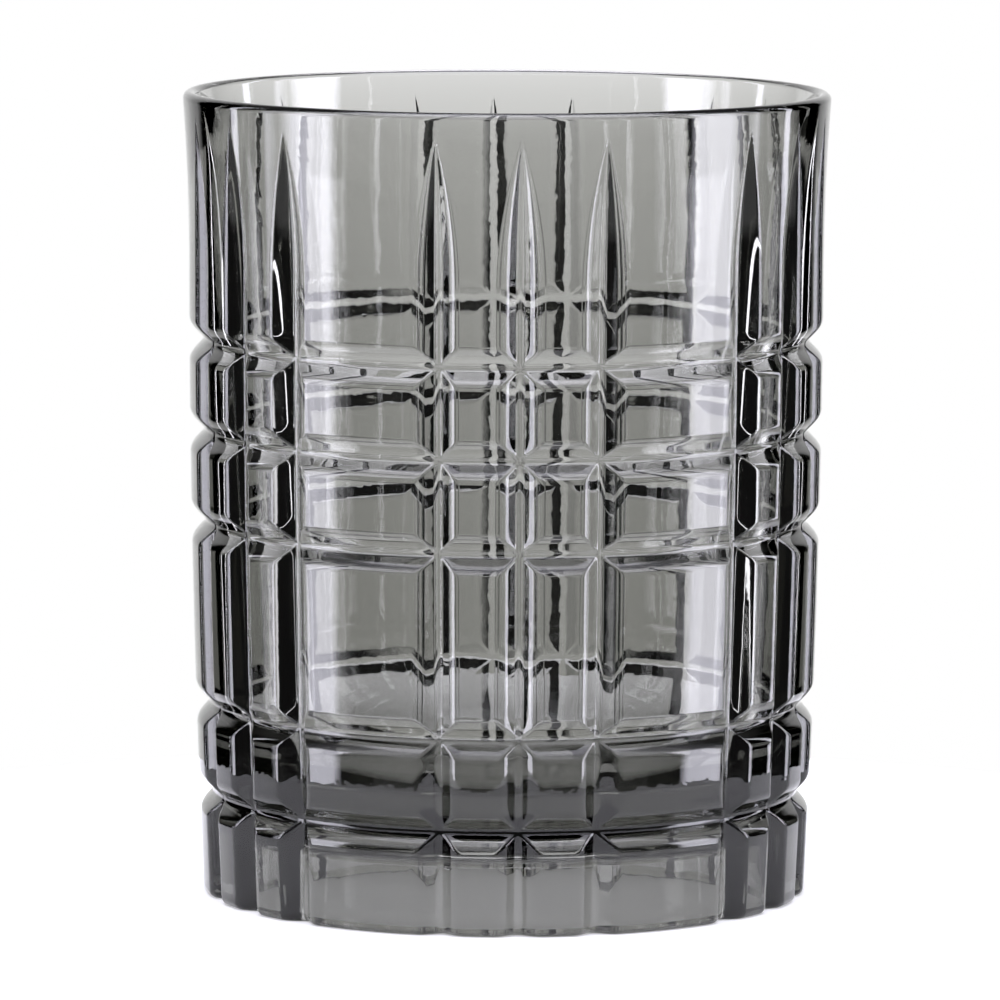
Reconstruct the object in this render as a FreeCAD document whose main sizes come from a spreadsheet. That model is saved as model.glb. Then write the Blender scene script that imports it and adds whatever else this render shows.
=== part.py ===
"""Whiskey tumbler: one piece of pressed, smoke-grey glass.

A slightly tapered cup that stands on a foot ring round a deep hollow, with
V-shaped grooves pressed into its outside: rings round the whole cup, and
upright grooves in clusters of three that run from the bottom edge up to a
pointed tip just under the rim.  The inside is smooth and the rim is rounded.

Units are millimetres.  The origin is the centre of the bottom, +Z is up
and -Y is the front, where the middle groove of one cluster lies.
"""

import FreeCAD, Part
import math
import os

import Sketcher
from FreeCAD import Placement, Rotation, Vector

NODE = "tumbler"
SHEET = "Dimensions"

RING_GROOVES = 5
GROOVES_PER_CLUSTER = 3
CLUSTERS = 6

DIMENSIONS = {
    # overall shape
    "total_height": 102.0,
    "rim_radius": 41.0,
    "rim_thickness": 1.8,
    "shoulder_height": 80.0,
    "shoulder_radius": 40.2,
    "belly_arc_radius": 1700.0,
    "base_edge_radius": 1.0,
    # underside: a flat foot ring round a deep, slightly tapered hollow
    "foot_inner_radius": 33.0,
    "recess_radius": 32.7,
    "recess_depth": 9.7,
    "recess_corner_radius": 1.6,
    "foot_edge_radius": 0.8,
    # inside: a cone from the floor to the neck, then a flare to the rim
    "floor_height": 12.5,
    "floor_radius": 34.4,
    "floor_corner_radius": 13.5,
    "neck_height": 90.0,
    "neck_radius": 37.4,
    # upright grooves
    "upright_depth": 2.0,
    "upright_half_width": 2.3,
    "upright_spacing": 15.0,
    "runout_arc_radius": 69.0,
    # ring grooves, numbered from the top
    "ring_depth": 1.98,
    "ring_half_width": 2.1,
    "ring_height_1": 70.7,
    "ring_height_2": 59.2,
    "ring_height_3": 47.6,
    "ring_height_4": 24.5,
    "ring_height_5": 13.1,
    # how far each cutting profile reaches past the glass
    "clearance": 2.0,
}

# Radius of the outside surface below the shoulder, at a given height.
OUTSIDE_RADIUS = (
    "{s}.shoulder_radius - {s}.belly_arc_radius"
    " + sqrt(({s}.belly_arc_radius - {depth}) ^ 2 - ({s}.shoulder_height - {height}) ^ 2)"
)


def outside_radius(height, depth="0"):
    """Expression for the outside radius at a height, less a depth."""
    return OUTSIDE_RADIUS.format(s=SHEET, height=height, depth=depth)


def cell(alias):
    """Expression that reads one cell of the sheet."""
    return "%s.%s" % (SHEET, alias)


def make_sheet(doc):
    """The spreadsheet that drives every size."""
    sheet = doc.addObject("Spreadsheet::Sheet", SHEET)
    for row, (alias, value) in enumerate(DIMENSIONS.items(), start=1):
        sheet.set("A%d" % row, alias)
        sheet.set("B%d" % row, str(value))
        sheet.setAlias("B%d" % row, alias)
    doc.recompute()
    return sheet


def origin_plane(body, role):
    """One of the body's own origin planes."""
    for feature in body.Origin.OriginFeatures:
        if feature.Role == role:
            return feature
    raise RuntimeError("no plane " + role)


def add_sketch(body, name, role, turn_axis=None):
    """A sketch on an origin plane; turn_axis turns it to the first groove.

    On XZ_Plane a sketch's x is the radius and its y is the height.
    """
    sketch = body.newObject("Sketcher::SketchObject", name)
    sketch.AttachmentSupport = [(origin_plane(body, role), "")]
    sketch.MapMode = "FlatFace"
    if turn_axis is not None:
        sketch.AttachmentOffset = Placement(Vector(), Rotation(turn_axis, -90.0))
        first_groove = "-90 deg - 1 deg * " + cell("upright_spacing")
        sketch.setExpression(".AttachmentOffset.Rotation.Angle", first_groove)
    return sketch


def bind(sketch, constraint, expression):
    """Add a dimension and drive it from the sheet."""
    index = sketch.addConstraint(constraint)
    sketch.setExpression("Constraints[%d]" % index, expression)


def place(sketch, geometry, point, x=None, y=None):
    """Fix a point of the sketch at driven coordinates."""
    for direction, expression in (("DistanceX", x), ("DistanceY", y)):
        if expression is not None:
            value = float(sketch.evalExpression(expression))
            bind(sketch, Sketcher.Constraint(direction, -1, 1, geometry, point, value), expression)


def join(sketch, kind, first, first_point, second, second_point):
    """Join two end points, coincident or tangent."""
    sketch.addConstraint(Sketcher.Constraint(kind, first, first_point, second, second_point))


def arc(centre_x, centre_y, radius, start, end):
    """A circular arc between two angles in degrees, anticlockwise."""
    centre = Vector(centre_x, centre_y, 0)
    circle = Part.Circle(centre, Vector(0, 0, 1), radius)
    return Part.ArcOfCircle(circle, math.radians(start), math.radians(end))


def line(x1, y1, x2, y2):
    return Part.LineSegment(Vector(x1, y1, 0), Vector(x2, y2, 0))


def add_meeting(sketch, wall, near, x, y):
    """Make a sloping line, carried on, pass through a driven point near the one given."""
    meeting = sketch.addGeometry(Part.Point(Vector(*near, 0)), True)
    place(sketch, meeting, 1, x, y)
    sketch.addConstraint(Sketcher.Constraint("PointOnObject", meeting, 1, wall))


def add_section(body, size):
    """The section of the glass from the axis outwards, with no grooves."""
    sketch = add_sketch(body, "GlassSection", "XZ_Plane")
    bead = size["rim_thickness"] / 2
    bead_x = size["rim_radius"] - bead
    bead_y = size["total_height"] - bead
    belly_x = size["shoulder_radius"] - size["belly_arc_radius"]
    corner = size["floor_corner_radius"]
    edge = size["base_edge_radius"]
    hollow = size["recess_corner_radius"]
    hollow_x = size["recess_radius"] - hollow
    hollow_y = size["recess_depth"] - hollow
    foot_x = size["foot_inner_radius"]
    foot_edge = size["foot_edge_radius"]
    base_x = size["shoulder_radius"] - size["shoulder_height"] ** 2 / size["belly_arc_radius"] / 2
    floor_x = size["floor_radius"] - corner
    # rough first places: the constraints below move them to size
    outline = [
        line(0, size["recess_depth"], hollow_x, size["recess_depth"]),
        arc(hollow_x, hollow_y, hollow, 2, 90),
        line(size["recess_radius"], hollow_y, foot_x, foot_edge),
        arc(foot_x + foot_edge, foot_edge, foot_edge, 182, 270),
        line(foot_x + foot_edge, 0, base_x - edge, 0),
        arc(base_x - edge, edge, edge, -90, -2.4),
        arc(belly_x, size["shoulder_height"], size["belly_arc_radius"], -2.4, 0),
        arc(size["shoulder_radius"] + 290, size["shoulder_height"], 290, 176, 180),
        arc(bead_x, bead_y, bead, -4, 172),
        arc(size["neck_radius"] + 80, size["neck_height"] - 3, 80, 172, 177.7),
        line(size["neck_radius"], size["neck_height"], size["floor_radius"],
             size["floor_height"] + corner),
        arc(floor_x, size["floor_height"] + corner, corner, -90, -2.3),
        line(floor_x, size["floor_height"], 0, size["floor_height"]),
        line(0, size["floor_height"], 0, size["recess_depth"]),
    ]
    recess, recess_corner, recess_wall, inner_edge, foot, base_edge, belly = range(7)
    flare, rim, inner_flare, cone, floor_corner, floor, axis = range(7, 14)
    sketch.addGeometry(outline, False)

    start, end, centre = 1, 2, 3
    join(sketch, "Tangent", recess, end, recess_corner, end)
    join(sketch, "Tangent", recess_corner, start, recess_wall, start)
    join(sketch, "Tangent", recess_wall, end, inner_edge, start)
    join(sketch, "Tangent", inner_edge, end, foot, start)
    join(sketch, "Tangent", foot, end, base_edge, start)
    join(sketch, "Tangent", base_edge, end, belly, start)
    join(sketch, "Tangent", belly, end, flare, end)
    join(sketch, "Tangent", flare, start, rim, start)
    join(sketch, "Tangent", rim, end, inner_flare, start)
    join(sketch, "Tangent", inner_flare, end, cone, start)
    join(sketch, "Tangent", cone, end, floor_corner, end)
    join(sketch, "Tangent", floor_corner, start, floor, start)
    join(sketch, "Coincident", floor, end, axis, start)
    join(sketch, "Coincident", axis, end, recess, start)
    for level in (recess, foot, floor):
        sketch.addConstraint(Sketcher.Constraint("Horizontal", level))

    place(sketch, recess, start, "0", cell("recess_depth"))
    place(sketch, foot, start, None, "0")
    place(sketch, belly, end, cell("shoulder_radius"), cell("shoulder_height"))
    place(sketch, belly, centre, None, cell("shoulder_height"))
    place(sketch, rim, centre, "{s}.rim_radius - {s}.rim_thickness / 2".format(s=SHEET),
          "{s}.total_height - {s}.rim_thickness / 2".format(s=SHEET))
    place(sketch, cone, start, cell("neck_radius"), cell("neck_height"))
    place(sketch, floor, end, "0", cell("floor_height"))
    bind(sketch, Sketcher.Constraint("Radius", base_edge, edge), cell("base_edge_radius"))
    bind(sketch, Sketcher.Constraint("Radius", belly, -belly_x), cell("belly_arc_radius"))
    bind(sketch, Sketcher.Constraint("Radius", rim, bead), cell("rim_thickness") + " / 2")
    bind(sketch, Sketcher.Constraint("Radius", floor_corner, corner), cell("floor_corner_radius"))
    bind(sketch, Sketcher.Constraint("Radius", recess_corner, hollow), cell("recess_corner_radius"))
    bind(sketch, Sketcher.Constraint("Radius", inner_edge, foot_edge), cell("foot_edge_radius"))

    # each wall, carried on past its rounded corner, meets its flat at a known point
    add_meeting(sketch, cone, (size["floor_radius"], size["floor_height"]),
                cell("floor_radius"), cell("floor_height"))
    add_meeting(sketch, recess_wall, (size["recess_radius"], size["recess_depth"]),
                cell("recess_radius"), cell("recess_depth"))
    add_meeting(sketch, recess_wall, (foot_x, 0), cell("foot_inner_radius"), "0")
    return sketch


def add_vee(sketch, apex_x, apex_y, depth, half_width):
    """A V that opens towards +x, reaching past the glass by the clearance."""
    first = sketch.GeometryCount
    reach = "({s}.{d} + {s}.clearance)".format(s=SHEET, d=depth)
    mouth = "2 * {r} * {s}.{w} / {s}.{d}".format(s=SHEET, r=reach, w=half_width, d=depth)
    upper, back, lower = first, first + 1, first + 2
    sketch.addGeometry([line(38, 0, 42, 4), line(42, 4, 42, -4), line(42, -4, 38, 0)], False)
    join(sketch, "Coincident", upper, 2, back, 1)
    join(sketch, "Coincident", back, 2, lower, 1)
    join(sketch, "Coincident", lower, 2, upper, 1)
    sketch.addConstraint(Sketcher.Constraint("Vertical", back))
    sketch.addConstraint(Sketcher.Constraint("Equal", upper, lower))
    bind(sketch, Sketcher.Constraint("DistanceX", upper, 1, upper, 2, 4.0), reach)
    bind(sketch, Sketcher.Constraint("DistanceY", back, 2, back, 1, 8.0), mouth)
    place(sketch, upper, 1, apex_x, apex_y)


def add_ring_grooves(body):
    """Every ring groove, turned in one cut."""
    sketch = add_sketch(body, "RingSection", "XZ_Plane")
    for number in range(1, RING_GROOVES + 1):
        height = cell("ring_height_%d" % number)
        apex = outside_radius(height, cell("ring_depth"))
        add_vee(sketch, apex, height, "ring_depth", "ring_half_width")
    rings = body.newObject("PartDesign::Groove", "RingGrooves")
    rings.Profile = sketch
    rings.ReferenceAxis = (sketch, ["V_Axis"])
    rings.Angle = 360.0
    return rings


def add_upright_path(body, size):
    """The bottom line of an upright groove: along the wall, then out of it."""
    sketch = add_sketch(body, "UprightPath", "XZ_Plane", Vector(0, 1, 0))
    radius = size["belly_arc_radius"] - size["upright_depth"]
    runout = size["runout_arc_radius"]
    turn_x = size["shoulder_radius"] - size["upright_depth"]
    along = arc(turn_x - radius, size["shoulder_height"], radius, -2.5, 0)
    out = arc(turn_x + runout, size["shoulder_height"], runout, 158, 180)
    sketch.addGeometry([along, out], False)
    join(sketch, "Tangent", 0, 2, 1, 2)
    place(sketch, 0, 1, None, "-" + cell("clearance"))
    place(sketch, 0, 2, "{s}.shoulder_radius - {s}.upright_depth".format(s=SHEET),
          cell("shoulder_height"))
    place(sketch, 0, 3, None, cell("shoulder_height"))
    bind(sketch, Sketcher.Constraint("Radius", 0, radius),
         "{s}.belly_arc_radius - {s}.upright_depth".format(s=SHEET))
    bind(sketch, Sketcher.Constraint("Radius", 1, runout), cell("runout_arc_radius"))
    place(sketch, 1, 1, "{s}.rim_radius + {s}.clearance".format(s=SHEET))
    return sketch


def add_upright_groove(body, size):
    """One upright groove, the first of a cluster."""
    path = add_upright_path(body, size)
    sketch = add_sketch(body, "UprightSection", "XY_Plane", Vector(0, 0, 1))
    sketch.setExpression(".AttachmentOffset.Base.z", "-" + cell("clearance"))
    apex = outside_radius("(-%s)" % cell("clearance"), cell("upright_depth"))
    add_vee(sketch, apex, "0", "upright_depth", "upright_half_width")
    groove = body.newObject("PartDesign::SubtractivePipe", "UprightGroove")
    groove.Profile = sketch
    groove.Spine = (path, ["Edge1", "Edge2"])
    return groove


def repeat_upright_groove(doc, body, groove):
    """Three grooves to a cluster, and the clusters evenly round the cup."""
    upright_axis = (origin_plane(body, "Z_Axis"), [""])
    repeat = body.newObject("PartDesign::MultiTransform", "UprightGrooves")
    repeat.Originals = [groove]
    cluster = doc.addObject("PartDesign::PolarPattern", "Cluster")
    cluster.Axis = upright_axis
    cluster.Mode = "Spacing"
    cluster.setExpression("Offset", "1 deg * " + cell("upright_spacing"))
    cluster.Occurrences = GROOVES_PER_CLUSTER
    around = doc.addObject("PartDesign::PolarPattern", "Clusters")
    around.Axis = upright_axis
    around.Angle = 360.0
    around.Occurrences = CLUSTERS
    repeat.Transformations = [cluster, around]
    body.Tip = repeat
    return repeat


def check_cut(body, before, name):
    """Every cut has to take glass away."""
    after = body.Shape.Volume
    print("%s: %.1f mm3 before, %.1f mm3 after" % (name, before, after))
    if not after < before:
        raise RuntimeError(name + " cut nothing")
    return after


def check_document(doc):
    """Nothing in the document may have failed."""
    for item in doc.Objects:
        if "Invalid" in item.State or "Error" in item.State:
            raise RuntimeError("%s failed: %s" % (item.Name, item.State))


def make_tumbler(doc, size):
    body = doc.addObject("PartDesign::Body", "Tumbler")
    body.Label = NODE
    body.Placement = Placement()
    section = add_section(body, size)
    blank = body.newObject("PartDesign::Revolution", "Blank")
    blank.Profile = section
    blank.ReferenceAxis = (section, ["V_Axis"])
    blank.Angle = 360.0
    doc.recompute()
    volume = body.Shape.Volume

    add_ring_grooves(body)
    doc.recompute()
    volume = check_cut(body, volume, "ring grooves")

    groove = add_upright_groove(body, size)
    doc.recompute()
    volume = check_cut(body, volume, "first upright groove")

    repeat_upright_groove(doc, body, groove)
    doc.recompute()
    check_cut(body, volume, "other upright grooves")
    return body


def main():
    os.makedirs("parts", exist_ok=True)
    doc = FreeCAD.newDocument("Tumbler")
    make_sheet(doc)
    body = make_tumbler(doc, DIMENSIONS)
    check_document(doc)
    if body.Shape.isNull() or not body.Shape.isValid():
        raise RuntimeError("the glass is not a valid solid")
    print("solids %d, faces %d" % (len(body.Shape.Solids), len(body.Shape.Faces)))
    print("glass volume %.1f cm3" % (body.Shape.Volume / 1000))
    body.Shape.exportStep(os.path.join("parts", body.Label + ".step"))


main()
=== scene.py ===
"""Whiskey tumbler in smoke-grey pressed glass, on a pale studio floor."""
import math

import bpy
import numpy as np
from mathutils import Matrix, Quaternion, Vector


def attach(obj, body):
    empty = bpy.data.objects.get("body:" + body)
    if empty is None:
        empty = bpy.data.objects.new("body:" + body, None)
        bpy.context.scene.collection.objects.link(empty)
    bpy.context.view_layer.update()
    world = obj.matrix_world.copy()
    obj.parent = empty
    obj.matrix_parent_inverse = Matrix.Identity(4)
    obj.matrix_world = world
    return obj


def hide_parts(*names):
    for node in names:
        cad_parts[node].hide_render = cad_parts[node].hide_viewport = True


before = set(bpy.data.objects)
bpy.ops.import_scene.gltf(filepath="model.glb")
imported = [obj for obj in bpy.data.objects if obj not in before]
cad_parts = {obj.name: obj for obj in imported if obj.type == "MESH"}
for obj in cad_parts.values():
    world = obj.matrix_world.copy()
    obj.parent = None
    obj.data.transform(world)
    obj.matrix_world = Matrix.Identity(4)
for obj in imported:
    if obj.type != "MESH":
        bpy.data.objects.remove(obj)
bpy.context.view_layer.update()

NODE = "tumbler"
MM = 0.001
FRONT = -math.pi / 2  # the middle groove of the front cluster lies on -Y

# ---------------------------------------------------------------- sizes, mm
TOTAL_HEIGHT = 102.0
RIM_RADIUS = 41.0
RIM_THICKNESS = 1.8
SHOULDER_HEIGHT = 80.0  # above this the outside flares out to the rim
SHOULDER_RADIUS = 40.2
BELLY_ARC = 1700.0  # radius of the arc on which the outside narrows towards the foot
BASE_EDGE = 1.0  # rounding of the bottom's outer edge
FOOT_EDGE = 0.8  # softening of the foot ring's inner edge

FOOT_INNER_RADIUS = 33.0
RECESS_RADIUS = 32.7
RECESS_DEPTH = 9.7
RECESS_CORNER = 1.6

FLOOR_HEIGHT = 12.5
FLOOR_RADIUS = 34.4
FLOOR_CORNER = 13.5
NECK_HEIGHT = 90.0  # the inside is a cone up to here, then flares out to the rim
NECK_RADIUS = 37.4

UPRIGHT_DEPTH = 2.0
UPRIGHT_HALF_WIDTH = 2.3
UPRIGHT_SPACING = math.radians(15.0)
CLUSTERS = 6
CLUSTER_SPACING = 2 * math.pi / CLUSTERS
RUNOUT_ARC = 69.0  # radius of the arc on which an upright groove's bottom runs out

RING_HEIGHTS = (13.1, 24.5, 47.6, 59.2, 70.7)
RING_DEPTH = 2.0
RING_HALF_WIDTH = 2.1

# Rounding each way from a V groove's bottom and edges, as fractions of its half width
VALLEY_ROUND = 0.28
EDGE_ROUND = 0.35
# Rounding where two grooves cross, in mm of depth
CROSS_ROUND = 0.25
# Grid lines across half a groove, as fractions of its half width
GROOVE_LINES = (
    VALLEY_ROUND / 2, VALLEY_ROUND, (VALLEY_ROUND + 1 - EDGE_ROUND) / 2, 1 - EDGE_ROUND,
    1 - EDGE_ROUND / 2, 1.0, 1 + EDGE_ROUND / 2, 1 + EDGE_ROUND,
)
NARROWEST = 0.5  # grid half width kept at a groove's pointed tip
# Grid lines on the plain glass between two grooves, inside a cluster and between clusters
NARROW_PANEL_LINES = 3
WIDE_PANEL_LINES = 7
ON_PANEL = 9.0  # stands for a place outside every groove
POLE_GAP = 0.3  # radius left open round the axis, closed by a fan of triangles
SLACK = 0.01  # allowance for rounding when a row's place is worked out from its height
# Rows of the grid on each stretch of the outline, from the recess up, over and in
CEILING_RINGS = (5, 12, 19, 25)  # radii on the recess's flat ceiling
RECESS_CORNER_ROWS = 9
RECESS_WALL_ROWS = 5
FOOT_EDGE_ROWS = 6
BASE_EDGE_ROWS = 6
ROW_SPACING = 3.0  # about how far apart the wall's rows are between ring grooves
SHOULDER_ROWS = 3
FLARE_ROWS = 26
BEAD_ROWS = 13
INNER_FLARE_ROWS = 7
CONE_ROWS = 16
FLOOR_CORNER_ROWS = 11
FLOOR_RINGS = (0.75, 0.5, 0.25)  # radii on the flat floor, as fractions of its edge's


# ------------------------------------------------------------ glass outline
def flare_arc(start_radius, start_height, slope, bead_radius, bead_height, bead):
    """Centre distance of the arc that leaves a wall and ends tangent to the rim's bead.

    The wall is at start_radius with the given slope from vertical; the arc
    bends outwards.  bead is negative when the arc meets the bead's inside.
    """
    normal = np.array([math.cos(slope), -math.sin(slope)])
    gap = np.array([bead_radius - start_radius, bead_height - start_height])
    return (gap @ gap - bead * bead) / (2 * (gap @ normal + bead))


BEAD = RIM_THICKNESS / 2
BEAD_RADIUS = RIM_RADIUS - BEAD
BEAD_HEIGHT = TOTAL_HEIGHT - BEAD

OUTER_FLARE = flare_arc(SHOULDER_RADIUS, SHOULDER_HEIGHT, 0.0, BEAD_RADIUS, BEAD_HEIGHT, BEAD)
CONE_SLOPE = math.atan((NECK_RADIUS - FLOOR_RADIUS) / (NECK_HEIGHT - FLOOR_HEIGHT))
INNER_FLARE = flare_arc(NECK_RADIUS, NECK_HEIGHT, CONE_SLOPE, BEAD_RADIUS, BEAD_HEIGHT, -BEAD)
OUTER_FLARE_CENTRE = (SHOULDER_RADIUS + OUTER_FLARE, SHOULDER_HEIGHT)
INNER_FLARE_CENTRE = (
    NECK_RADIUS + INNER_FLARE * math.cos(CONE_SLOPE),
    NECK_HEIGHT - INNER_FLARE * math.sin(CONE_SLOPE),
)
# Where the rim's bead begins and ends, as angles round the bead
BEAD_START = math.atan2(OUTER_FLARE_CENTRE[1] - BEAD_HEIGHT, OUTER_FLARE_CENTRE[0] - BEAD_RADIUS)
BEAD_END = math.atan2(BEAD_HEIGHT - INNER_FLARE_CENTRE[1], BEAD_RADIUS - INNER_FLARE_CENTRE[0])
FLARE_TOP = BEAD_HEIGHT + BEAD * math.sin(BEAD_START)


def plain_radius(height):
    """Radius of the outside wall at a height, before any groove."""
    below = SHOULDER_RADIUS - BELLY_ARC + np.sqrt(BELLY_ARC**2 - (SHOULDER_HEIGHT - height) ** 2)
    rise = np.clip(height, SHOULDER_HEIGHT, FLARE_TOP) - SHOULDER_HEIGHT
    above = OUTER_FLARE_CENTRE[0] - np.sqrt(OUTER_FLARE**2 - rise**2)
    return np.where(height < SHOULDER_HEIGHT, below, above)


def upright_depth(height):
    """Depth of an upright groove's bottom line under the plain wall."""
    rise = np.clip(height - SHOULDER_HEIGHT, 0, None)
    bottom = SHOULDER_RADIUS - UPRIGHT_DEPTH + RUNOUT_ARC - np.sqrt(RUNOUT_ARC**2 - rise**2)
    depth = np.where(height < SHOULDER_HEIGHT, UPRIGHT_DEPTH, plain_radius(height) - bottom)
    return np.clip(depth, 0, None)


def vee(across):
    """Depth of a V groove of depth 1 and half width 1, with its valley and edges rounded."""
    away = np.abs(across)
    soft = np.where(away < VALLEY_ROUND, (away**2 / VALLEY_ROUND + VALLEY_ROUND) / 2, away)
    left = 1 - soft
    edge = (left + EDGE_ROUND) ** 2 / (4 * EDGE_ROUND)
    return np.where(np.abs(left) < EDGE_ROUND, edge, np.clip(left, 0, None))


def groove_depth(angle, height):
    """Depth of the pressed pattern at any place on the outside wall."""
    in_cluster = (angle - FRONT + CLUSTER_SPACING / 2) % CLUSTER_SPACING - CLUSTER_SPACING / 2
    nearest = np.clip(np.round(in_cluster / UPRIGHT_SPACING), -1, 1) * UPRIGHT_SPACING
    deepest = upright_depth(height)
    half_width = np.maximum(deepest * UPRIGHT_HALF_WIDTH / UPRIGHT_DEPTH, 1e-6)
    upright = deepest * vee((in_cluster - nearest) * plain_radius(height) / half_width)
    ring = np.zeros_like(upright)
    for ring_height in RING_HEIGHTS:
        ring = np.maximum(ring, RING_DEPTH * vee((height - ring_height) / RING_HALF_WIDTH))
    # where both cut, the deeper one wins and the ridge between them is rounded
    both = np.minimum(CROSS_ROUND, np.minimum(upright, ring))
    overlap = np.clip(both - np.abs(upright - ring), 0, None)
    return np.maximum(upright, ring) + overlap**2 / np.maximum(4 * both, 1e-9)


def wall_radius(angle, height):
    return plain_radius(height) - groove_depth(angle, height)


def wall_normal(angle, height):
    """Outward normal of the outside wall, from the slopes of its radius."""
    step = 1e-4
    radius = wall_radius(angle, height)
    round_slope = wall_radius(angle + step, height) - wall_radius(angle - step, height)
    rise_slope = wall_radius(angle, height + step) - wall_radius(angle, height - step)
    out = np.ones_like(radius)
    across = -round_slope / (2 * step) / radius
    up = -rise_slope / (2 * step)
    length = np.sqrt(out**2 + across**2 + up**2)
    return out / length, across / length, up / length


# --------------------------------------------------------------- glass mesh
def groove_lines():
    """Grid lines across a whole groove, as signed fractions of its half width."""
    half = np.array(GROOVE_LINES)
    return np.concatenate([-half[::-1], [0.0], half])


def wall_heights():
    """Heights of the rows of the outside wall, closest together at the ring grooves."""
    lines = groove_lines() * RING_HALF_WIDTH
    heights = []
    below = BASE_EDGE
    for ring_height in RING_HEIGHTS:
        lowest = ring_height + lines[0]
        gap_rows = max(2, round((lowest - below) / ROW_SPACING))
        heights += list(np.linspace(below, lowest, gap_rows, endpoint=False))
        heights += list(ring_height + lines[:-1])
        below = ring_height + lines[-1]
    heights += list(np.linspace(below, SHOULDER_HEIGHT, SHOULDER_ROWS, endpoint=False))
    heights += list(np.linspace(SHOULDER_HEIGHT, FLARE_TOP, FLARE_ROWS, endpoint=False))
    return np.array(heights)


def column_angles(height):
    """Angles of the grid lines round the glass at a height, gathered at the upright grooves."""
    depth = float(upright_depth(np.array(height)))
    half_width = max(depth * UPRIGHT_HALF_WIDTH / UPRIGHT_DEPTH, NARROWEST)
    across = groove_lines() * half_width / float(plain_radius(np.array(height)))
    angles = []
    for cluster in range(CLUSTERS):
        for groove in (-1, 0, 1):
            centre = FRONT + cluster * CLUSTER_SPACING + groove * UPRIGHT_SPACING
            angles += list(centre + across)
            gap = UPRIGHT_SPACING if groove < 1 else CLUSTER_SPACING - 2 * UPRIGHT_SPACING
            panel_lines = NARROW_PANEL_LINES if groove < 1 else WIDE_PANEL_LINES
            start = centre + across[-1]
            end = centre + gap + across[0]
            angles += list(np.linspace(start, end, panel_lines + 2)[1:-1])
    return np.array(angles)


def column_places():
    """Each grid line's fraction across its groove, or ON_PANEL."""
    places = []
    for cluster in range(CLUSTERS):
        for panel_lines in (NARROW_PANEL_LINES, NARROW_PANEL_LINES, WIDE_PANEL_LINES):
            places += list(groove_lines()) + [ON_PANEL] * panel_lines
    return np.array(places)


def turned_row(radius, height, angles, normal_out, normal_up):
    """A row of points, and their normals, on a plain surface of revolution."""
    points = np.stack(
        [radius * np.cos(angles), radius * np.sin(angles), np.full_like(angles, height)], -1
    )
    normals = np.stack(
        [normal_out * np.cos(angles), normal_out * np.sin(angles), np.full_like(angles, normal_up)], -1
    )
    return points, normals


def grooved_row(height, sink, angles, tilt, inset, drop):
    """A row at or near the outside wall that follows the grooves.

    tilt turns the wall's normal down towards the foot; inset and drop move
    the row in and down from the wall's lowest height, for the base's edge.
    sink is how much of the groove's depth the row follows.
    """
    out, across, up = wall_normal(angles, np.full_like(angles, height))
    depth = groove_depth(angles, np.full_like(angles, height)) * sink
    radius = plain_radius(np.array(height)) - depth - inset
    out = out * math.cos(tilt)
    across = across * math.cos(tilt)
    up = up * math.cos(tilt) - math.sin(tilt)
    points = np.stack(
        [radius * np.cos(angles), radius * np.sin(angles), np.full_like(angles, height - drop)], -1
    )
    normals = np.stack(
        [
            out * np.cos(angles) - across * np.sin(angles),
            out * np.sin(angles) + across * np.cos(angles),
            up,
        ],
        -1,
    )
    return points, normals


def underside_rows(angles):
    """From near the middle of the recess, down its wall and out over the foot to the bottom edge."""
    rows = []
    slope = math.atan2(FOOT_INNER_RADIUS - RECESS_RADIUS, RECESS_DEPTH)
    # RECESS_RADIUS is where the recess wall, carried on up, meets the ceiling
    corner_radius = RECESS_RADIUS - RECESS_CORNER * math.tan((math.pi / 2 - slope) / 2)
    corner_height = RECESS_DEPTH - RECESS_CORNER
    for radius in (POLE_GAP, *CEILING_RINGS, corner_radius):
        rows.append(turned_row(radius, RECESS_DEPTH, angles, 0.0, -1.0))
    for turn in np.linspace(math.pi / 2, slope, RECESS_CORNER_ROWS)[1:]:
        radius = corner_radius + RECESS_CORNER * math.cos(turn)
        height = corner_height + RECESS_CORNER * math.sin(turn)
        rows.append(turned_row(radius, height, angles, -math.cos(turn), -math.sin(turn)))
    wall_top = corner_height + RECESS_CORNER * math.sin(slope)
    wall_foot = FOOT_EDGE * (1 - math.sin(slope))
    for height in np.linspace(wall_top, wall_foot, RECESS_WALL_ROWS)[1:-1]:
        radius = FOOT_INNER_RADIUS - height * math.tan(slope)
        rows.append(turned_row(radius, height, angles, -math.cos(slope), -math.sin(slope)))
    edge_radius = FOOT_INNER_RADIUS - FOOT_EDGE * math.tan(slope) + FOOT_EDGE / math.cos(slope)
    for turn in np.linspace(slope, math.pi / 2, FOOT_EDGE_ROWS):
        radius = edge_radius - FOOT_EDGE * math.cos(turn)
        height = FOOT_EDGE - FOOT_EDGE * math.sin(turn)
        rows.append(turned_row(radius, height, angles, -math.cos(turn), -math.sin(turn)))
    foot_width = float(plain_radius(np.array(BASE_EDGE))) - BASE_EDGE - edge_radius
    middle_inset = BASE_EDGE + foot_width / 2
    rows.append(grooved_row(BASE_EDGE, 0.5, angles, math.pi / 2, middle_inset, BASE_EDGE))
    for turn in np.linspace(math.pi / 2, 0, BASE_EDGE_ROWS)[:-1]:
        inset = BASE_EDGE * (1 - math.cos(turn))
        drop = BASE_EDGE * math.sin(turn)
        rows.append(grooved_row(BASE_EDGE, 1.0, angles, turn, inset, drop))
    return rows


def rim_rows(angles):
    """Over the rounded rim, from outside to inside."""
    rows = []
    for turn in np.linspace(BEAD_START, BEAD_END, BEAD_ROWS):
        radius = BEAD_RADIUS + BEAD * math.cos(turn)
        height = BEAD_HEIGHT + BEAD * math.sin(turn)
        rows.append(turned_row(radius, height, angles, math.cos(turn), math.sin(turn)))
    return rows


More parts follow.
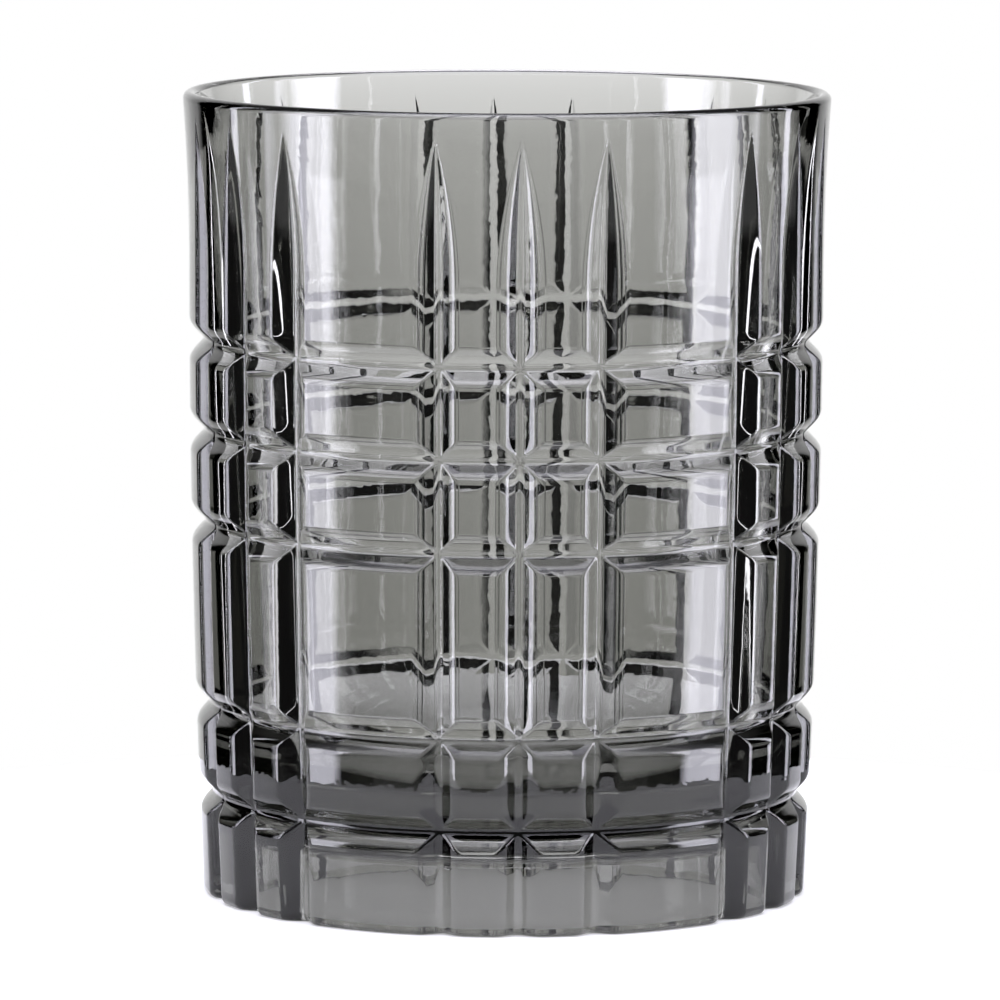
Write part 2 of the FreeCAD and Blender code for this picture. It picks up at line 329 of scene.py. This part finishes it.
def inside_rows(angles):
    """Down the inside wall, round the floor's corner and in to near the middle."""
    rows = []
    flare_start = math.atan2(
        BEAD_HEIGHT + BEAD * math.sin(BEAD_END) - INNER_FLARE_CENTRE[1],
        BEAD_RADIUS + BEAD * math.cos(BEAD_END) - INNER_FLARE_CENTRE[0],
    )
    flare_end = math.pi - CONE_SLOPE
    for turn in np.linspace(flare_start, flare_end, INNER_FLARE_ROWS)[1:]:
        radius = INNER_FLARE_CENTRE[0] + INNER_FLARE * math.cos(turn)
        height = INNER_FLARE_CENTRE[1] + INNER_FLARE * math.sin(turn)
        rows.append(turned_row(radius, height, angles, math.cos(turn), math.sin(turn)))
    corner_height = FLOOR_HEIGHT + FLOOR_CORNER
    # the corner's arc touches the cone; its centre is one corner radius from both
    centre_radius = (
        FLOOR_RADIUS + FLOOR_CORNER * math.tan(CONE_SLOPE) - FLOOR_CORNER / math.cos(CONE_SLOPE)
    )
    cone_foot = corner_height - FLOOR_CORNER * math.sin(CONE_SLOPE)
    for height in np.linspace(NECK_HEIGHT, cone_foot, CONE_ROWS)[1:]:
        radius = FLOOR_RADIUS + (height - FLOOR_HEIGHT) * math.tan(CONE_SLOPE)
        rows.append(turned_row(radius, height, angles, -math.cos(CONE_SLOPE), math.sin(CONE_SLOPE)))
    for turn in np.linspace(-CONE_SLOPE, -math.pi / 2, FLOOR_CORNER_ROWS)[1:]:
        radius = centre_radius + FLOOR_CORNER * math.cos(turn)
        height = corner_height + FLOOR_CORNER * math.sin(turn)
        rows.append(turned_row(radius, height, angles, -math.cos(turn), -math.sin(turn)))
    for radius in [centre_radius * part for part in FLOOR_RINGS] + [POLE_GAP]:
        rows.append(turned_row(radius, FLOOR_HEIGHT, angles, 0.0, 1.0))
    return rows


def glass_faces(row_count, columns, row_places, first_wall_row):
    """Quads between rows; where grooves cross, two triangles that meet on the ridge."""
    places = column_places()
    faces = []
    for row in range(row_count - 1):
        wall_row = row - first_wall_row
        in_wall = 0 <= wall_row < len(row_places) - 1
        low = row_places[wall_row] if in_wall else ON_PANEL
        high = row_places[wall_row + 1] if in_wall else ON_PANEL
        for column in range(columns):
            after = (column + 1) % columns
            a = row * columns + column
            b = row * columns + after
            c = b + columns
            d = a + columns
            left = places[column]
            right = places[after]
            if max(abs(low), abs(high), abs(left), abs(right)) < ON_PANEL:
                rising = (low + high) * (left + right) > 0
                faces += [(a, b, c), (a, c, d)] if rising else [(a, b, d), (b, c, d)]
            else:
                faces.append((a, b, c, d))
    return faces


def make_glass():
    """The glass as one closed mesh with exact normals."""
    base_angles = column_angles(BASE_EDGE)
    top_angles = column_angles(FLARE_TOP)
    rows = underside_rows(base_angles)
    first_wall_row = len(rows)
    row_places = []
    for height in wall_heights():
        rows.append(grooved_row(height, 1.0, column_angles(height), 0.0, 0.0, 0.0))
        offsets = (height - np.array(RING_HEIGHTS)) / RING_HALF_WIDTH
        nearest = offsets[np.argmin(np.abs(offsets))]
        on_groove = abs(nearest) < GROOVE_LINES[-1] + SLACK
        row_places.append(nearest if on_groove else ON_PANEL)
    rows += rim_rows(top_angles) + inside_rows(top_angles)

    columns = len(base_angles)
    points = np.concatenate([row[0] for row in rows])
    normals = np.concatenate([row[1] for row in rows])
    faces = glass_faces(len(rows), columns, row_places, first_wall_row)
    under_pole = len(points)
    floor_pole = under_pole + 1
    points = np.concatenate([points, [[0, 0, RECESS_DEPTH], [0, 0, FLOOR_HEIGHT]]])
    normals = np.concatenate([normals, [[0, 0, -1], [0, 0, 1]]])
    last = (len(rows) - 1) * columns
    for column in range(columns):
        after = (column + 1) % columns
        faces.append((under_pole, after, column))
        faces.append((last + column, last + after, floor_pole))

    mesh = bpy.data.meshes.new("tumbler_glass")
    mesh.from_pydata((points * MM).tolist(), [], faces)
    mesh.validate()
    mesh.shade_smooth()
    lengths = np.linalg.norm(normals, axis=1, keepdims=True)
    mesh.normals_split_custom_set_from_vertices((normals / lengths).tolist())
    glass = bpy.data.objects.new("tumbler_glass", mesh)
    bpy.context.scene.collection.objects.link(glass)
    return glass


# ---------------------------------------------------------------- materials
# What the glass lets through of each colour: a touch more red and green than blue
SMOKE_COLOUR = (0.045, 0.05, 0.0, 1.0)
SMOKE_DENSITY = 174.0  # per metre
GLASS_INDEX = 1.52
# Faint ripples that pressing leaves on the surface
RIPPLE_SCALE = 110.0
RIPPLE_DETAIL = 4.0
RIPPLE_STRENGTH = 0.2
RIPPLE_HEIGHT = 0.0002  # metres
# The studio's floor
STUDIO_FLOOR_RADIUS = 0.12  # metres
STUDIO_FLOOR_SIDES = 96
STUDIO_FLOOR_COLOUR = (0.9, 0.9, 0.9, 1.0)
STUDIO_FLOOR_ROUGHNESS = 0.9
STUDIO_FLOOR_PAINTED_GLOW = 0.25  # painted glow that fills in the glass's shadow, so hardly any shadow gathers at the foot
WHITE = (1.0, 1.0, 1.0, 1.0)


def smoke_glass():
    """Clear smoke-grey glass: absorption in the body, faint ripples from pressing."""
    material = bpy.data.materials.new("smoke_glass")
    material.use_nodes = True
    nodes = material.node_tree.nodes
    links = material.node_tree.links
    surface = nodes["Principled BSDF"]
    surface.inputs["Base Color"].default_value = WHITE
    surface.inputs["Roughness"].default_value = 0.0
    surface.inputs["IOR"].default_value = GLASS_INDEX
    surface.inputs["Transmission Weight"].default_value = 1.0

    place = nodes.new("ShaderNodeTexCoord")
    ripple = nodes.new("ShaderNodeTexNoise")
    ripple.inputs["Scale"].default_value = RIPPLE_SCALE
    ripple.inputs["Detail"].default_value = RIPPLE_DETAIL
    bump = nodes.new("ShaderNodeBump")
    bump.inputs["Strength"].default_value = RIPPLE_STRENGTH
    bump.inputs["Distance"].default_value = RIPPLE_HEIGHT
    links.new(place.outputs["Object"], ripple.inputs["Vector"])
    links.new(ripple.outputs["Fac"], bump.inputs["Height"])
    links.new(bump.outputs["Normal"], surface.inputs["Normal"])

    body = nodes.new("ShaderNodeVolumeAbsorption")
    body.inputs["Color"].default_value = SMOKE_COLOUR
    body.inputs["Density"].default_value = SMOKE_DENSITY
    output = nodes["Material Output"]
    links.new(body.outputs["Volume"], output.inputs["Volume"])
    return material


# -------------------------------------------------------------------- scene
def make_floor():
    """A plain pale disc with a faint painted glow that fills in the glass's shadow."""
    ring = []
    for turn in np.linspace(0, 2 * math.pi, STUDIO_FLOOR_SIDES, endpoint=False):
        ring.append((STUDIO_FLOOR_RADIUS * math.cos(turn), STUDIO_FLOOR_RADIUS * math.sin(turn), 0))
    mesh = bpy.data.meshes.new("floor")
    mesh.from_pydata(ring, [], [tuple(range(STUDIO_FLOOR_SIDES))])
    floor = bpy.data.objects.new("floor", mesh)
    bpy.context.scene.collection.objects.link(floor)
    material = bpy.data.materials.new("pale_floor")
    material.use_nodes = True
    surface = material.node_tree.nodes["Principled BSDF"]
    surface.inputs["Base Color"].default_value = STUDIO_FLOOR_COLOUR
    surface.inputs["Roughness"].default_value = STUDIO_FLOOR_ROUGHNESS
    # painted glow: the floor gives off light of its own, filling in the shadow at the glass's foot
    surface.inputs["Emission Color"].default_value = WHITE
    surface.inputs["Emission Strength"].default_value = STUDIO_FLOOR_PAINTED_GLOW
    floor.data.materials.append(material)


# The camera: angles in degrees, lengths in mm
CAMERA_AZIMUTH = -2.62
CAMERA_PITCH = 6.76
CAMERA_ROLL = 0.22
CAMERA_DISTANCE = 1062.0
CAMERA_LENS = 300.7
CAMERA_SENSOR = 36.0
CAMERA_TARGET_HEIGHT = 50.0
# How far the camera aims left of its target and below it
AIM_LEFT = 0.71
AIM_BELOW = 0.12


def make_camera():
    """A long lens a metre away, a little above the glass."""
    azimuth = math.radians(CAMERA_AZIMUTH)
    pitch = math.radians(CAMERA_PITCH)
    target = Vector((0, 0, CAMERA_TARGET_HEIGHT * MM))
    right = Vector((math.cos(azimuth), math.sin(azimuth), 0))
    level = math.cos(pitch)
    back = Vector((math.sin(azimuth) * level, -math.cos(azimuth) * level, math.sin(pitch)))
    aim = target - right * AIM_LEFT * MM - Vector((0, 0, AIM_BELOW * MM))
    place = target + back * (CAMERA_DISTANCE * MM)
    data = bpy.data.cameras.new("camera")
    data.lens = CAMERA_LENS
    data.sensor_width = CAMERA_SENSOR
    data.clip_end = 20.0
    camera = bpy.data.objects.new("camera", data)
    camera.location = place
    camera.rotation_mode = "QUATERNION"
    look = (aim - place).to_track_quat("-Z", "Y")
    camera.rotation_quaternion = look @ Quaternion((0, 0, 1), math.radians(CAMERA_ROLL))
    bpy.context.scene.collection.objects.link(camera)
    bpy.context.scene.camera = camera


# Brightness of the studio's parts; the white card behind the glass is 1
CARD = 1.0
CARD_EDGE = 0.7
FLAG = 0.0
STRIP = 6.0
STRIP_AT = 62  # degrees from behind the glass to the strip light's near edge
SIDE_CARD = 4.0
SOFT_BOX = 9.0
ROOM = 0.1
BACKDROP = 1.0  # what the camera itself sees

# The studio is the same on both sides.  Each pair is how many degrees away from
# straight behind the glass, and the brightness there.
STUDIO_SIDE = (
    # white card behind, ending at a black flag
    (0, CARD), (20, CARD), (33, CARD_EDGE), (37, FLAG),
    # strip light in the flag
    (STRIP_AT - 1, FLAG), (STRIP_AT, STRIP), (STRIP_AT + 3, STRIP), (STRIP_AT + 4, FLAG),
    # end of the flag and a bright side card
    (80, FLAG), (82, SIDE_CARD), (88, CARD),
    # soft box, then the dark room behind the camera
    (96, SOFT_BOX), (110, SOFT_BOX), (114, ROOM), (180, ROOM),
)
# Elevations, in degrees, between which these lights show
PATTERN_LOW = -21.0
PATTERN_LOW_FRONT = -14.5  # lower end on the camera's side
PATTERN_HIGH = 29.0
GROUND = 0.85
GROUND_EDGE = -36.0  # below this the ground is dark
GROUND_DARK = 0.1
CEILING_BEHIND = 0.15
CEILING_FRONT = 1.5
TOP_BOX = 3.5
TOP_BOX_LOW = 58.0  # the soft box overhead begins here
# Widths of the soft edges between them, in degrees of elevation
PATTERN_LOW_FADE = 3.0
PATTERN_HIGH_FADE = 8.0
GROUND_FADE = 4.0
TOP_BOX_FADE = 4.0
# Where two changes start and how wide they are, on a scale from -1 straight
# behind the glass to 1 straight towards the camera
CEILING_TURN = -0.25
CEILING_TURN_WIDTH = 0.5
CAMERA_SIDE = 0.5
CAMERA_SIDE_WIDTH = 0.1
BRIGHTEST = 10.0  # the world's strength; brightnesses are fractions of it
SOFT_BOX_TINT = (0.97, 0.96, 1.08)  # anything brighter than the white card is a little cooler


def studio_colour(brightness):
    """A brightness as a fraction of the brightest; anything brighter than the card is tinted."""
    tint = SOFT_BOX_TINT if brightness > CARD else (1.0, 1.0, 1.0)
    return tuple(brightness / BRIGHTEST * part for part in tint) + (1.0,)


def make_world():
    """White card behind, black flags, soft boxes at the sides and a soft box above.

    The camera itself sees plain white.
    """
    world = bpy.data.worlds.new("studio")
    world.use_nodes = True
    nodes = world.node_tree.nodes
    links = world.node_tree.links

    def math_node(operation, *inputs, clamp=False):
        node = nodes.new("ShaderNodeMath")
        node.operation = operation
        node.use_clamp = clamp
        for socket, value in zip(node.inputs, inputs):
            if isinstance(value, (int, float)):
                socket.default_value = value
            else:
                links.new(value, socket)
        return node.outputs["Value"]

    def mixed(amount, low, high):
        """The colour low where amount is 0, high where it is 1."""
        node = nodes.new("ShaderNodeMix")
        node.data_type = "RGBA"
        sockets = {socket.identifier: socket for socket in node.inputs}
        links.new(amount, sockets["Factor_Float"])
        for name, colour in (("A_Color", low), ("B_Color", high)):
            if isinstance(colour, tuple):
                sockets[name].default_value = colour
            else:
                links.new(colour, sockets[name])
        return next(socket for socket in node.outputs if socket.identifier == "Result_Color")

    def step_up(value, start, width):
        """0 below start, 1 above start + width."""
        return math_node("DIVIDE", math_node("SUBTRACT", value, start), width, clamp=True)

    direction = nodes.new("ShaderNodeTexCoord")
    split = nodes.new("ShaderNodeSeparateXYZ")
    links.new(direction.outputs["Generated"], split.inputs["Vector"])
    x, y, z = split.outputs
    bearing = math_node("ARCTAN2", x, y)
    elevation = math_node("DEGREES", math_node("ARCSINE", z))

    ramp = nodes.new("ShaderNodeValToRGB")
    stops = ramp.color_ramp.elements
    for degrees, brightness in STUDIO_SIDE[1:-1]:
        stops.new(degrees / 180.0).color = studio_colour(brightness)
    stops[0].color = studio_colour(STUDIO_SIDE[0][1])
    stops[-1].color = studio_colour(STUDIO_SIDE[-1][1])
    away = math_node("DIVIDE", math_node("ABSOLUTE", bearing), math.pi)
    links.new(away, ramp.inputs["Fac"])

    towards_camera = math_node("MULTIPLY", y, -1.0)
    ceiling_turn = step_up(towards_camera, CEILING_TURN, CEILING_TURN_WIDTH)
    ceiling = mixed(ceiling_turn, studio_colour(CEILING_BEHIND), studio_colour(CEILING_FRONT))
    above_edge = step_up(elevation, GROUND_EDGE, GROUND_FADE)
    ground = mixed(above_edge, studio_colour(GROUND_DARK), studio_colour(GROUND))
    camera_side = step_up(towards_camera, CAMERA_SIDE, CAMERA_SIDE_WIDTH)
    raised = math_node("MULTIPLY", camera_side, PATTERN_LOW_FRONT - PATTERN_LOW)
    above_raised = math_node("SUBTRACT", elevation, raised)
    above_ground = step_up(above_raised, PATTERN_LOW, PATTERN_LOW_FADE)
    light = mixed(above_ground, ground, ramp.outputs["Color"])
    in_ceiling = step_up(elevation, PATTERN_HIGH, PATTERN_HIGH_FADE)
    light = mixed(in_ceiling, light, ceiling)
    in_top_box = step_up(elevation, TOP_BOX_LOW, TOP_BOX_FADE)
    light = mixed(in_top_box, light, studio_colour(TOP_BOX))
    seen = nodes.new("ShaderNodeLightPath").outputs["Is Camera Ray"]
    light = mixed(seen, light, studio_colour(BACKDROP))

    background = nodes["Background"]
    background.inputs["Strength"].default_value = BRIGHTEST
    links.new(light, background.inputs["Color"])
    bpy.context.scene.world = world


def set_render():
    """Plain colours, and bounces enough for light to cross the glass many times."""
    scene = bpy.context.scene
    scene.view_settings.view_transform = "Standard"
    scene.cycles.max_bounces = 32
    scene.cycles.transmission_bounces = 32
    scene.cycles.glossy_bounces = 16
    scene.cycles.transparent_max_bounces = 16


set_render()
make_camera()
make_world()
make_floor()
glass = make_glass()
glass.data.materials.append(smoke_glass())
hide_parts(NODE)
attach(glass, "root")
